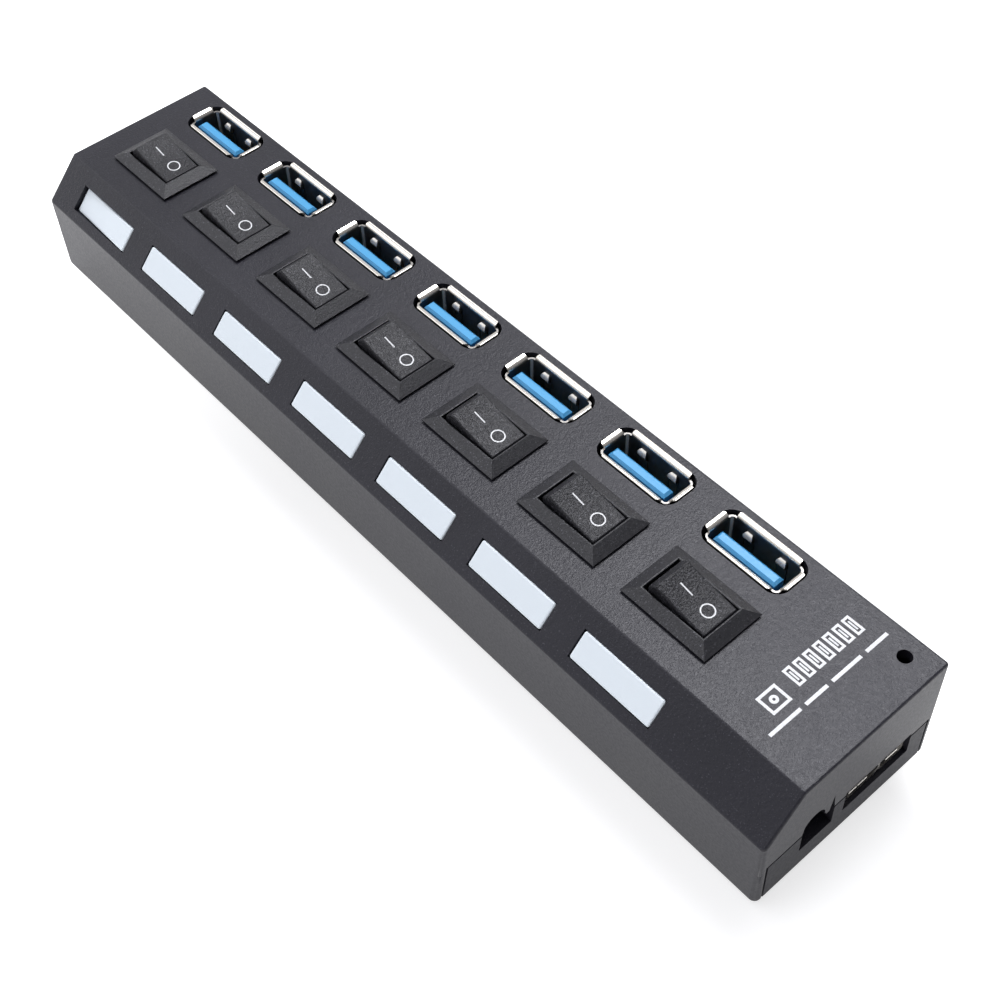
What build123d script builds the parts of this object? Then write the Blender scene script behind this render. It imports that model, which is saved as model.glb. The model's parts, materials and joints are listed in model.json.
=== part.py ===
from build123d import *
import os
from math import atan2, cos, degrees, hypot, radians, sin

# Powered USB hub: a long drafted case with a sloped edge. Seven upright sockets and seven
# rocker switches sit in its flat top, and seven lamp windows sit in the slope.
# Millimetres. +X points to the end with the power and upstream sockets, +Y to the row of
# sockets, +Z up. The origin is the middle of the footprint, on the surface that it stands on.

# Rows of repeated pieces
ROW_COUNT = 7
ROW_PITCH = 20.0
SWITCH_FIRST_X = -67.3
PORT_FIRST_X = -67.5
SWITCH_Y = -0.66
PORT_Y = 11.6

# Case
FOOT_PROUD = 0.8
CASE_LENGTH_BOTTOM = 162.3
CASE_LENGTH_TOP = 161.4
CASE_WIDTH_BOTTOM = 33.3
CASE_WIDTH_TOP = 33.0
CASE_HEIGHT = 20.65
CASE_BOTTOM_CORNER_R = 1.0
CASE_TOP_CORNER_R = 0.45
CASE_BOTTOM_EDGE_R = 0.6
CASE_TOP_EDGE_R = 0.4
SLOPE_TOP_Y = -10.2
SLOPE_DROP = 6.51
TOP_WALL = 1.8
SLOPE_WALL = 1.6
CAVITY_HALF_LENGTH = 79.3
CAVITY_HALF_WIDTH = 15.5
FLOOR_THICKNESS = 1.8
SEAM_HEIGHT = 8.5
SEAM_GAP = 0.38
LAP_HEIGHT = 1.4
LAP_WIDTH = 2.0

# End sockets, heights from the bottom of the case
JACK_Y = -6.9
JACK_HEIGHT = 9.5
JACK_HOLE_R = 2.0
JACK_BACK_X = 68.2
JACK_HALF_WIDTH = 3.4
JACK_TOP = 2.9
JACK_BORE_R = 1.8
JACK_PIN_R = 0.65
JACK_PIN_TIP_X = 77.6
JACK_SPRING_X = 70.6
JACK_TAIL_HALF = 0.6
JACK_NOTCH_LEFT = 2.1
JACK_NOTCH_RIGHT = 2.3
SLIT_START = 2.9
JACK_NOTCH_BOTTOM = 4.6
JACK_ARCH_DROP = 0.3
SLIT_WIDTH = 1.0
SLIT_HEIGHT = 3.2
UPSTREAM_Y = 5.5
UPSTREAM_WIDTH = 12.3
UPSTREAM_HEIGHT = 3.85
UPSTREAM_SPLIT = 7.4
UPSTREAM_BACK_X = 72.6
UPSTREAM_MOUTH_X = 80.4
UPSTREAM_CLEARANCE = (0.15, 0.25)
UPSTREAM_TONGUE_HALF = 0.35
UPSTREAM_OPENING_BOTTOM = 4.75
UPSTREAM_OPENING_TOP = 9.1
INDICATOR_X = 76.3
INDICATOR_Y = 13.1
INDICATOR_R = 1.05

# Windows and their moulded light strip, measured along the slope
WINDOW_LENGTH = 14.75
WINDOW_WIDTH = 4.5
WINDOW_START = 2.87
PAD_GAP = 0.1
PAD_END_GAP = 0.18
PAD_SHIFT = 0.08
PAD_PROUD = 0.15
PAD_EDGE_R = 0.3
PAD_CORNER_R = 0.35
FIRST_PAD_SINK = 0.75
STRIP_THICKNESS = 1.2
STRIP_MARGIN = 1.0
STRIP_BORDER = 0.9

# Circuit board, height from the bottom of the case
BOARD_TOP = 4.8
BOARD_THICKNESS = 1.6
BOARD_LENGTH = 155.4
BOARD_WIDTH = 29.8
LEAD_R = 0.25
LEAD_X = 0.8
LAMP_Y = -11.9
LAMP_HEIGHT = 7.5
LAMP_LENGTH = 4.5
LAMP_R = 1.5
INDICATOR_HEIGHT = 12.0
INDICATOR_LAMP_R = 1.0
BETWEEN_X = 9.9
CHIP_SIZE = (7.0, 9.0, 0.9)
REGULATOR_SIZE = (3.6, 6.5, 1.6)
CAPACITORS = [(65.0, 8.0, 3.15, 7.7), (65.0, 0.4, 3.15, 7.7), (67.0, 13.0, 2.0, 5.4)]

# Standard upright socket, type A
SHELL_LENGTH = 13.1
SHELL_WIDTH = 5.72
SHEET = 0.3
MOUTH_LENGTH = 14.6
MOUTH_WIDTH = 7.0
LIP_PROUD = 0.25
LIP_BEND_R = 0.7
LIP_CORNER_R = 0.45
LIP_RISE = 0.05
LIP_TIP_R = 0.14
LONG_LIP = 11.0
SHORT_LIP = 3.7
OPENING_LENGTH = 14.85
OPENING_WIDTH = 7.25
OPENING_R = 2.3
OPENING_Y_SHIFT = -0.05
TONGUE_LENGTH = 10.8
TONGUE_THICKNESS = 1.84
TONGUE_Y = -1.13
TONGUE_DEPTH = 0.4
TONGUE_BEVEL = 0.4
MOULDING_HEIGHT = 5.0
CONTACT_PROUD = 0.15
LONG_CONTACT_DEPTH = 2.2
SHORT_CONTACT_DEPTH = 6.5
LEG_Y = 1.4
LEG_HALF_WIDTH = 0.6
FINGER_X = 2.95
FINGER_WIDTH = 1.6
FINGER_TOP_DEPTH = 1.2
FINGER_ROOT_DEPTH = 7.0
FINGER_SLOT = 0.12
BULGE_DEPTH = 2.1
BULGE_R = 0.8
BULGE_HEIGHTS = {-1: 0.35, 1: 0.55}

# Rocker switch, heights from the top of the case
BEZEL_LENGTH = 15.0
BEZEL_WIDTH = 10.5
BEZEL_EDGE = 0.45
BEZEL_UNDERCUT = 0.3
RIM_HEIGHT = 1.35
RIM_FLAT = 0.28
RIM_EDGE_R = 0.2
SWITCH_HOLE_LENGTH = 13.3
SWITCH_HOLE_WIDTH = 8.8
BODY_LENGTH = 13.0
BODY_WIDTH = 8.5
BODY_DEPTH = 10.0
CLIP_REACH = 0.6
CLIP_DROP = 3.0
CLIP_HALF_WIDTH = 1.5
WELL_LENGTH = 10.66
WELL_WIDTH = 6.5
WELL_DEPTH = 8.8
END_SWEEP_R = 6.3
POCKET_HALF_LENGTH = 5.95
POCKET_TOP = 2.1
PIVOT_DEPTH = 2.0
PIVOT_R = 1.0
PIVOT_CLEARANCE = 0.05
ROCKER_TILT = 11.5
ROCKER_WIDTH = 6.1
ROCKER_WALL = 0.8
ROCKER_END_GAP = 0.18
ROCKER_DISH = 0.16
ROCKER_EDGE_R = 0.25
SHOULDER = (5.3, 3.05)
SKIRT = (5.0, 0.5)
EAR_R = 1.9
GUIDE_R = 1.7
GUIDE_WALL = 0.55
GUIDE_BOTTOM = -2.4
GUIDE_BORE_TOP = 2.0
SPRING_BOTTOM = -0.6
PLUNGER_CLEARANCE = 0.1
PLUNGER_REACH = 4.6
PLUNGER_TIP_R = 0.8
LEVER_TILT = 6.9
LEVER_DEPTH = 7.15
LEVER_LENGTH = 8.2
LEVER_WIDTH = 3.0
LEVER_THICKNESS = 0.5
LEVER_CHEEK = 0.8
RIVET_R = 0.6
FIXED_CONTACT_DROP = 0.9
TERMINAL_X = 4.5
BLADE_HALF = (0.3, 1.1, 0.5)

# Screws and feet
SCREW_HEAD_BOTTOM = FOOT_PROUD + 0.3
SCREW_HEAD_TOP = FOOT_PROUD + 1.6
SCREW_XS = (-57.4, 42.6)
SCREW_YS = (-6.5, 11.6)
SCREW_R = 1.15
SCREW_HEAD_R = 2.1
BOSS_R = 2.3
BOSS_BORE = 9.0
SCREW_REACH = 8.0
CROSS_CUT = (2.4, 0.5, 1.2)
SEAT_R = 3.2
SUPPORT_R = 1.5
FOOT_X = 70.0
FOOT_Y = 9.8
FOOT_R = 4.0
FOOT_RECESS = 0.4

# Places worked out from the dimensions above
BOTTOM_Z = FOOT_PROUD
TOP_Z = BOTTOM_Z + CASE_HEIGHT
BOARD_Z = BOTTOM_Z + BOARD_TOP
JACK_Z = BOTTOM_Z + JACK_HEIGHT
UPSTREAM_LOW_Y = UPSTREAM_Y - UPSTREAM_WIDTH / 2
UPSTREAM_HIGH_Y = UPSTREAM_Y + UPSTREAM_WIDTH / 2
UPSTREAM_TOP_Z = BOARD_Z + UPSTREAM_HEIGHT
UPSTREAM_TONGUE_Z = BOARD_Z + UPSTREAM_HEIGHT / 2
LEAD_END_Z = BOARD_Z - BOARD_THICKNESS - 0.6
SLOPE_RUN = CASE_WIDTH_TOP / 2 + SLOPE_TOP_Y
SLOPE_LENGTH = hypot(SLOPE_RUN, SLOPE_DROP)
SLOPE_ANGLE = degrees(atan2(SLOPE_DROP, SLOPE_RUN))
SWITCH_XS = [SWITCH_FIRST_X + ROW_PITCH * k for k in range(ROW_COUNT)]
PORT_XS = [PORT_FIRST_X + ROW_PITCH * k for k in range(ROW_COUNT)]
SLOPE_PLANE = Plane(
    origin=(0, SLOPE_TOP_Y, TOP_Z),
    x_dir=(1, 0, 0),
    z_dir=(0, -sin(radians(SLOPE_ANGLE)), cos(radians(SLOPE_ANGLE))),
)
FAR = 200.0
EPSILON = 0.01


def block(low, high):
    """Box from its lowest corner to its highest corner."""
    size = [b - a for a, b in zip(low, high)]
    return Pos(*low) * Box(*size, align=(Align.MIN, Align.MIN, Align.MIN))


def post(x, y, low_z, high_z, radius):
    """Upright round post."""
    base = (Align.CENTER, Align.CENTER, Align.MIN)
    return Pos(x, y, low_z) * Cylinder(radius, high_z - low_z, align=base)


def rod_x(y, z, low_x, high_x, radius):
    """Round rod that runs along X."""
    base = (Align.CENTER, Align.CENTER, Align.MIN)
    return Pos(low_x, y, z) * (Rot(0, 90, 0) * Cylinder(radius, high_x - low_x, align=base))


def rod_y(x, z, low_y, high_y, radius):
    """Round rod that runs along Y."""
    base = (Align.CENTER, Align.CENTER, Align.MIN)
    return Pos(x, low_y, z) * (Rot(-90, 0, 0) * Cylinder(radius, high_y - low_y, align=base))


def prism_x(outline, low_x, high_x):
    """Solid with a closed outline of (y, z) points, between two places along X."""
    face = Plane.YZ.offset(low_x) * Polygon(*outline, align=None)
    return extrude(face, amount=high_x - low_x, dir=(1, 0, 0))


def prism_y(outline, low_y, high_y):
    """Solid with a closed outline of (x, z) points, between two places along Y."""
    face = Plane.XZ.offset(-low_y) * Polygon(*outline, align=None)
    return extrude(face, amount=high_y - low_y, dir=(0, 1, 0))


def inside_slope(depth):
    """Where the slope, moved in by depth, meets the roof of the cavity and its side."""
    lean = radians(SLOPE_ANGLE)
    level = TOP_Z - TOP_WALL
    side = -CAVITY_HALF_WIDTH
    start_y = SLOPE_TOP_Y + depth * sin(lean)
    start_z = TOP_Z - depth * cos(lean)
    roof_y = start_y - (start_z - level) * SLOPE_RUN / SLOPE_DROP
    side_z = start_z - (start_y - side) * SLOPE_DROP / SLOPE_RUN
    return roof_y, side_z


def case_form():
    """Outer form of the closed case: a drafted block with one long edge cut to a slope."""
    foot = RectangleRounded(CASE_LENGTH_BOTTOM, CASE_WIDTH_BOTTOM, CASE_BOTTOM_CORNER_R)
    head = RectangleRounded(CASE_LENGTH_TOP, CASE_WIDTH_TOP, CASE_TOP_CORNER_R)
    form = loft([Pos(0, 0, BOTTOM_Z) * foot, Pos(0, 0, TOP_Z) * head])
    form = fillet(form.faces().sort_by(Axis.Z)[0].edges(), CASE_BOTTOM_EDGE_R)
    form -= SLOPE_PLANE * Box(FAR, FAR, FAR, align=(Align.CENTER, Align.CENTER, Align.MIN))
    slope = form.faces().filter_by(Plane(SLOPE_PLANE.origin, z_dir=SLOPE_PLANE.z_dir))[0]
    top = form.faces().sort_by(Axis.Z)[-1]
    below_top = [edge for edge in slope.edges() if edge.center().Z < TOP_Z - EPSILON]
    return fillet(list(top.edges()) + below_top, CASE_TOP_EDGE_R)


def cavity():
    """Hollow inside the case."""
    roof_y, side_z = inside_slope(SLOPE_WALL)
    outline = [
        (-CAVITY_HALF_WIDTH, -1),
        (CAVITY_HALF_WIDTH, -1),
        (CAVITY_HALF_WIDTH, TOP_Z - TOP_WALL),
        (roof_y, TOP_Z - TOP_WALL),
        (-CAVITY_HALF_WIDTH, side_z),
    ]
    return prism_x(outline, -CAVITY_HALF_LENGTH, CAVITY_HALF_LENGTH)


def top_cover():
    """Roof, slope and both long sides, with the upper part of the two end walls."""
    seam_z = BOTTOM_Z + SEAM_HEIGHT + SEAM_GAP / 2
    end_gap = block((-FAR, -CAVITY_HALF_WIDTH, -1), (FAR, CAVITY_HALF_WIDTH, seam_z))
    cover = case_form() - cavity() - end_gap
    for x in PORT_XS:
        mouth = RectangleRounded(OPENING_LENGTH, OPENING_WIDTH, OPENING_R)
        cover -= Pos(x, PORT_Y + OPENING_Y_SHIFT, TOP_Z - 2 * TOP_WALL) * extrude(mouth, amount=FAR)
    for x in SWITCH_XS:
        hole = Box(SWITCH_HOLE_LENGTH, SWITCH_HOLE_WIDTH, 2 * TOP_WALL + 1)
        cover -= Pos(x, SWITCH_Y, TOP_Z - TOP_WALL / 2) * hole
    window_y = -(WINDOW_START + WINDOW_WIDTH / 2)
    for x in SWITCH_XS:
        hole = Box(WINDOW_LENGTH, WINDOW_WIDTH, 2 * SLOPE_WALL + 1)
        cover -= SLOPE_PLANE * Pos(x, window_y, -SLOPE_WALL / 2) * hole
    cover -= post(INDICATOR_X, INDICATOR_Y, TOP_Z - 2 * TOP_WALL, TOP_Z + 1, INDICATOR_R)
    end_x = CAVITY_HALF_LENGTH - 1
    cover -= rod_x(JACK_Y, JACK_Z, end_x, FAR, JACK_HOLE_R)
    notch_low = (end_x, JACK_Y - JACK_NOTCH_LEFT, BOTTOM_Z)
    cover -= block(notch_low, (FAR, JACK_Y + JACK_NOTCH_RIGHT, JACK_Z - JACK_ARCH_DROP))
    slit_y = JACK_Y + SLIT_START
    slit = [
        (slit_y, seam_z - 2),
        (slit_y + SLIT_WIDTH, seam_z - 2),
        (slit_y + SLIT_WIDTH, seam_z),
        (slit_y + 0.6 * SLIT_WIDTH, seam_z + SLIT_HEIGHT),
        (slit_y, seam_z),
    ]
    cover -= prism_x(slit, end_x, FAR)
    low = (end_x, UPSTREAM_LOW_Y - UPSTREAM_CLEARANCE[0], BOTTOM_Z)
    high = (FAR, UPSTREAM_HIGH_Y + UPSTREAM_CLEARANCE[1], BOTTOM_Z + UPSTREAM_OPENING_TOP)
    cover -= block(low, high)
    for x in SCREW_XS:
        for y in SCREW_YS:
            boss = post(x, y, BOARD_Z, TOP_Z - TOP_WALL + 0.1, BOSS_R)
            cover += boss - post(x, y, BOARD_Z - 1, BOARD_Z + BOSS_BORE, SCREW_R + 0.02)
    return cover


def base():
    """Floor with the lower part of the two end walls, set between the cover's long sides."""
    half = CAVITY_HALF_WIDTH - SEAM_GAP
    seam_z = BOTTOM_Z + SEAM_HEIGHT - SEAM_GAP / 2
    floor_z = BOTTOM_Z + FLOOR_THICKNESS
    shell = case_form() & block((-FAR, -half, -1), (FAR, half, seam_z))
    inner = CAVITY_HALF_LENGTH
    shell -= block((-inner, -FAR, floor_z), (inner, FAR, TOP_Z))
    lip_z = seam_z + LAP_HEIGHT
    lip_back = inner - 1.0
    lip_face = inner - 0.1
    lip_low_y = -half + 0.8
    lip_high_y = half - 0.8
    low_z = floor_z - 0.1
    root_z = seam_z - 1.0
    shell += block((-lip_face, lip_low_y, low_z), (-lip_back, lip_high_y, lip_z))
    shell += block((-inner - 0.5, lip_low_y, low_z), (-lip_back, lip_high_y, root_z))
    for side_y in (lip_low_y, lip_high_y - LAP_WIDTH):
        shell += block((lip_back, side_y, low_z), (lip_face, side_y + LAP_WIDTH, lip_z))
        shell += block((lip_back, side_y, low_z), (inner + 0.5, side_y + LAP_WIDTH, root_z))
    jack_low = (inner - 2, JACK_Y - JACK_NOTCH_LEFT, BOTTOM_Z + JACK_NOTCH_BOTTOM)
    shell -= block(jack_low, (FAR, JACK_Y + SLIT_START + SLIT_WIDTH + 0.1, TOP_Z))
    up_low = (inner - 2, UPSTREAM_LOW_Y - UPSTREAM_CLEARANCE[0], BOTTOM_Z + UPSTREAM_OPENING_BOTTOM)
    shell -= block(up_low, (FAR, UPSTREAM_HIGH_Y + UPSTREAM_CLEARANCE[1], TOP_Z))
    board_under = BOARD_Z - BOARD_THICKNESS
    for x in SCREW_XS:
        for y in SCREW_YS:
            shell += post(x, y, low_z, board_under, SEAT_R)
            shell -= post(x, y, -1, SCREW_HEAD_TOP, SCREW_HEAD_R + 0.2)
            shell -= post(x, y, -1, TOP_Z, SCREW_R + 0.2)
    for x in (-FOOT_X, -10.0, FOOT_X):
        for y in (-FOOT_Y, 3.0):
            shell += post(x, y, low_z, board_under, SUPPORT_R)
    for x in (-FOOT_X, FOOT_X):
        for y in (-FOOT_Y, FOOT_Y):
            shell -= post(x, y, -1, BOTTOM_Z + FOOT_RECESS, FOOT_R + 0.1)
    return shell


def light_strip():
    """One clear white moulding: a bar behind the slope, with a pad for each window."""
    front = -SLOPE_WALL - 0.05
    back = front - STRIP_THICKNESS
    first = SWITCH_XS[0] - WINDOW_LENGTH / 2 - STRIP_MARGIN
    last = SWITCH_XS[-1] + WINDOW_LENGTH / 2 + STRIP_MARGIN
    top_edge = -(WINDOW_START - STRIP_BORDER - 0.6)
    low_edge = -(WINDOW_START + WINDOW_WIDTH + STRIP_BORDER)
    strip = block((first, low_edge, back), (last, top_edge, front))
    pad_y = -(WINDOW_START + WINDOW_WIDTH / 2)
    pad_height = PAD_PROUD - front
    length = WINDOW_LENGTH - 2 * PAD_END_GAP
    for k, x in enumerate(SWITCH_XS):
        pad = Box(length, WINDOW_WIDTH - 2 * PAD_GAP, pad_height)
        if k == 0:
            lean = degrees(atan2(FIRST_PAD_SINK, length))
            above = Box(FAR, FAR, FAR, align=(Align.CENTER, Align.CENTER, Align.MIN))
            pad -= Pos(length / 2, 0, pad_height / 2) * (Rot(0, -lean, 0) * above)
        pad = fillet(pad.edges().filter_by(Axis.Z), PAD_CORNER_R)
        pad = fillet(pad.faces().sort_by(Axis.Z)[-1].edges(), PAD_EDGE_R)
        strip += Pos(x + PAD_SHIFT, pad_y, front + pad_height / 2) * pad
    return SLOPE_PLANE * strip


def contact_strips(x):
    """Nine flat contacts that stand on the open face of a socket's tongue."""
    face_y = PORT_Y + TONGUE_Y + TONGUE_THICKNESS / 2
    strips = []
    high_y = face_y + CONTACT_PROUD
    for offset in (-3.5, -1.0, 1.0, 3.5):
        low = (x + offset - 0.5, face_y, LEAD_END_Z)
        strips.append(block(low, (x + offset + 0.5, high_y, TOP_Z - LONG_CONTACT_DEPTH)))
    for offset in (-4.6, -2.25, 0.0, 2.25, 4.6):
        low = (x + offset - 0.3, face_y, LEAD_END_Z)
        strips.append(block(low, (x + offset + 0.3, high_y, TOP_Z - SHORT_CONTACT_DEPTH)))
    return strips


def port_contacts():
    """Every contact of the seven upright sockets."""
    return Compound(children=[strip for x in PORT_XS for strip in contact_strips(x)])


def port_tongue(x):
    """Blue moulding of an upright socket: a block on the board and the tongue above it."""
    block_top = BOARD_Z + MOULDING_HEIGHT
    half_x = SHELL_LENGTH / 2 - SHEET - 0.05
    half_y = SHELL_WIDTH / 2 - SHEET - 0.05
    footprint = Pos(x, PORT_Y, BOARD_Z) * RectangleRounded(2 * half_x, 2 * half_y, 0.5)
    moulding = extrude(footprint, amount=block_top - BOARD_Z)
    tongue_height = TOP_Z - TONGUE_DEPTH - block_top + 0.5
    tongue = Box(TONGUE_LENGTH, TONGUE_THICKNESS, tongue_height)
    tongue = chamfer(tongue.faces().sort_by(Axis.Z)[-1].edges(), TONGUE_BEVEL)
    tongue_z = TOP_Z - TONGUE_DEPTH - tongue_height / 2
    moulding += Pos(x, PORT_Y + TONGUE_Y, tongue_z) * tongue
    for strip in contact_strips(x):
        moulding -= strip
    return moulding


def shell_legs(x):
    """Four solder legs of an upright socket's shell."""
    legs = []
    for side_x in (-1, 1):
        for side_y in (-1, 1):
            outer = x + side_x * SHELL_LENGTH / 2
            inner = outer - side_x * SHEET
            middle_y = PORT_Y + side_y * LEG_Y
            low = (min(outer, inner), middle_y - LEG_HALF_WIDTH, LEAD_END_Z)
            legs.append(block(low, (max(outer, inner), middle_y + LEG_HALF_WIDTH, BOARD_Z + 1)))
    return legs


def lip(half_inside, half_outside, length):
    """Rolled lip of sheet metal on the +X side of a mouth whose highest point is at z 0."""
    bend_x = half_inside + LIP_BEND_R
    bend_z = -LIP_BEND_R - LIP_RISE
    root_z = bend_z - 0.5
    bend_top = bend_z + LIP_BEND_R
    tip_x = half_outside - LIP_TIP_R
    tip_low_z = -2 * LIP_TIP_R
    half_turn = sin(radians(45))
    outer_mid = (bend_x - LIP_BEND_R * half_turn, bend_z + LIP_BEND_R * half_turn)
    under_r = LIP_BEND_R - SHEET
    under_mid = (bend_x - under_r * half_turn, bend_z + under_r * half_turn)
    outline = [
        Line((half_inside, root_z), (half_inside, bend_z)),
        ThreePointArc((half_inside, bend_z), outer_mid, (bend_x, bend_top)),
        Line((bend_x, bend_top), (tip_x, 0)),
        ThreePointArc((tip_x, 0), (half_outside, -LIP_TIP_R), (tip_x, tip_low_z)),
        Line((tip_x, tip_low_z), (bend_x, bend_z + under_r)),
        ThreePointArc((bend_x, bend_z + under_r), under_mid, (half_inside + SHEET, bend_z)),
        Line((half_inside + SHEET, bend_z), (half_inside + SHEET, root_z)),
        Line((half_inside + SHEET, root_z), (half_inside, root_z)),
    ]
    face = Plane.XZ.offset(length / 2) * make_face(outline)
    rolled = extrude(face, amount=length, dir=(0, 1, 0))
    plan = RectangleRounded(half_outside - half_inside + 1, length, LIP_CORNER_R)
    limit = extrude(Pos((half_outside + half_inside - 1) / 2, 0, -5) * plan, amount=10)
    return rolled & limit


def finger_outline(x, grow):
    """Upright outline of a spring finger with a round top end, grown by a margin."""
    radius = FINGER_WIDTH / 2 + grow
    centre_z = TOP_Z - FINGER_TOP_DEPTH - FINGER_WIDTH / 2
    foot_z = TOP_Z - FINGER_ROOT_DEPTH
    middle_z = (centre_z + foot_z) / 2
    leaf = Pos(x, middle_z) * Rectangle(2 * radius, centre_z - foot_z)
    return leaf + Pos(x, centre_z) * Circle(radius)


def finger_prism(x, grow, low_y, high_y):
    """Spring finger's outline as a solid between two places along Y."""
    face = Plane.XZ.offset(-low_y) * finger_outline(x, grow)
    return extrude(face, amount=high_y - low_y, dir=(0, 1, 0))


def port_shell(x):
    """Folded steel shell of an upright socket, with rolled lips and four spring fingers."""
    lip_top = TOP_Z + LIP_PROUD
    mouth_z = lip_top - LIP_BEND_R - LIP_RISE
    outer = RectangleRounded(SHELL_LENGTH, SHELL_WIDTH, 0.8)
    inner = RectangleRounded(SHELL_LENGTH - 2 * SHEET, SHELL_WIDTH - 2 * SHEET, 0.5)
    shell = Pos(0, 0, BOARD_Z) * extrude(outer - inner, amount=mouth_z - BOARD_Z)
    half_x = SHELL_LENGTH / 2 - SHEET
    half_y = SHELL_WIDTH / 2 - SHEET
    for turn in (0, 180):
        end_lip = Rot(0, 0, turn) * lip(half_x, MOUTH_LENGTH / 2, SHORT_LIP)
        side_lip = Rot(0, 0, turn + 90) * lip(half_y, MOUTH_WIDTH / 2, LONG_LIP)
        shell += Pos(0, 0, lip_top) * end_lip
        shell += Pos(0, 0, lip_top) * side_lip
    for side in (-1, 1):
        wall_y = side * half_y
        outer_y = side * (half_y + 2 * SHEET)
        bulge_y = wall_y + side * (BULGE_R - BULGE_HEIGHTS[side])
        for finger_x in (-FINGER_X, FINGER_X):
            low_y = min(wall_y - side * 0.1, outer_y)
            high_y = max(wall_y - side * 0.1, outer_y)
            slot = finger_prism(finger_x, FINGER_SLOT, low_y, high_y)
            shell -= slot - finger_prism(finger_x, 0, low_y - 1, high_y + 1)
            reach = sorted((0, wall_y + side * SHEET))
            bulge = rod_x(bulge_y, TOP_Z - BULGE_DEPTH, finger_x - 2, finger_x + 2, BULGE_R)
            shell += bulge & finger_prism(finger_x, 0, reach[0], reach[1])
    shell = Pos(x, PORT_Y, 0) * shell
    for leg in shell_legs(x):
        shell += leg
    return shell


def switch_body():
    """Moulded frame and well of a rocker switch, with its top rim at z RIM_HEIGHT."""
    frame_base = Rectangle(BEZEL_LENGTH, BEZEL_WIDTH)
    rim = Rectangle(WELL_LENGTH + 2 * RIM_FLAT, WELL_WIDTH + 2 * RIM_FLAT)
    body = loft([Pos(0, 0, BEZEL_EDGE) * frame_base, Pos(0, 0, RIM_HEIGHT) * rim])
    body += Pos(0, 0, BEZEL_UNDERCUT) * extrude(frame_base, amount=BEZEL_EDGE - BEZEL_UNDERCUT)
    foot = Rectangle(BEZEL_LENGTH - 2 * BEZEL_EDGE, BEZEL_WIDTH - 2 * BEZEL_EDGE)
    body += extrude(foot, amount=BEZEL_EDGE)
    half_x = BODY_LENGTH / 2
    half_y = BODY_WIDTH / 2
    body += block((-half_x, -half_y, -BODY_DEPTH), (half_x, half_y, 0))
    clip_z = -TOP_WALL - 0.1
    for side in (-1, 1):
        root_x = side * (half_x - 0.5)
        outline = [
            (root_x, clip_z),
            (side * (half_x + CLIP_REACH), clip_z),
            (root_x, clip_z - CLIP_DROP),
        ]
        body += prism_y(outline, -CLIP_HALF_WIDTH, CLIP_HALF_WIDTH)
    well_x = WELL_LENGTH / 2
    well_y = WELL_WIDTH / 2
    body -= block((-well_x, -well_y, -WELL_DEPTH), (well_x, well_y, RIM_HEIGHT + 1))
    rim_wires = body.faces().sort_by(Axis.Z)[-1].inner_wires()
    body = fillet(rim_wires[0].edges(), RIM_EDGE_R)
    sweep = rod_y(0, -PIVOT_DEPTH, -well_y, well_y, END_SWEEP_R)
    body -= sweep & block((-FAR, -FAR, -PIVOT_DEPTH + POCKET_TOP - 0.5), (FAR, FAR, FAR))
    pocket_low = (-POCKET_HALF_LENGTH, -well_y, -WELL_DEPTH + 2)
    body -= block(pocket_low, (POCKET_HALF_LENGTH, well_y, -PIVOT_DEPTH + POCKET_TOP))
    body -= rod_y(0, -PIVOT_DEPTH, -BODY_WIDTH, BODY_WIDTH, PIVOT_R + PIVOT_CLEARANCE)
    for blade in terminal_blades():
        body -= blade
    return body


def rocker_edge():
    """Top edge of a level rocker's end about the pivot, just clear of the rim when pressed."""
    lean = radians(ROCKER_TILT)
    edge_x = WELL_LENGTH / 2 - ROCKER_END_GAP
    edge_z = PIVOT_DEPTH + RIM_HEIGHT - 0.04
    return edge_x * cos(lean) - edge_z * sin(lean), edge_x * sin(lean) + edge_z * cos(lean)


def rocker_side(inset, foot_z):
    """Face of the rocker's side view, moved in by inset: a shallow dish over two bevelled ends."""
    top_x, top_z = rocker_edge()
    dish = ThreePointArc(
        (-top_x + inset, top_z - inset),
        (0, top_z - inset - ROCKER_DISH),
        (top_x - inset, top_z - inset),
    )
    rest = Polyline(
        (top_x - inset, top_z - inset),
        (SHOULDER[0] - inset, SHOULDER[1] - inset),
        (SKIRT[0] - inset, foot_z),
        (-SKIRT[0] + inset, foot_z),
        (-SHOULDER[0] + inset, SHOULDER[1] - inset),
        (-top_x + inset, top_z - inset),
    )
    return make_face([dish, rest])


def switch_rocker():
    """Hollow rocker about its pivot, level, with side ears, pivot studs and a guide tube."""
    half = ROCKER_WIDTH / 2
    outer = extrude(Plane.XZ * rocker_side(0, SKIRT[1]), amount=half, both=True)
    top_x, top_z = rocker_edge()
    ends = outer.edges().filter_by(Axis.Y).group_by(Axis.Z)[-1]
    above = outer.edges().filter_by_position(Axis.Z, SHOULDER[1] + EPSILON, top_z)
    sides = [edge for edge in above if edge not in ends]
    outer = fillet(list(ends) + sides, ROCKER_EDGE_R)
    inside = Plane.XZ * rocker_side(ROCKER_WALL, SKIRT[1] - 1)
    hollow = extrude(inside, amount=half - ROCKER_WALL, both=True)
    rocker = outer - hollow
    for side in (-1, 1):
        inner_y = side * (half - ROCKER_WALL)
        outer_y = side * half
        rocker += rod_y(0, 0, min(inner_y, outer_y), max(inner_y, outer_y), EAR_R)
        stud_end = side * (BODY_WIDTH / 2 - 0.1)
        rocker += rod_y(0, 0, min(inner_y, stud_end), max(inner_y, stud_end), PIVOT_R)
    rocker += post(0, 0, GUIDE_BOTTOM, top_z - 0.7, GUIDE_R)
    rocker -= post(0, 0, GUIDE_BOTTOM - 1, GUIDE_BORE_TOP, GUIDE_R - GUIDE_WALL)
    return rocker


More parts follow.
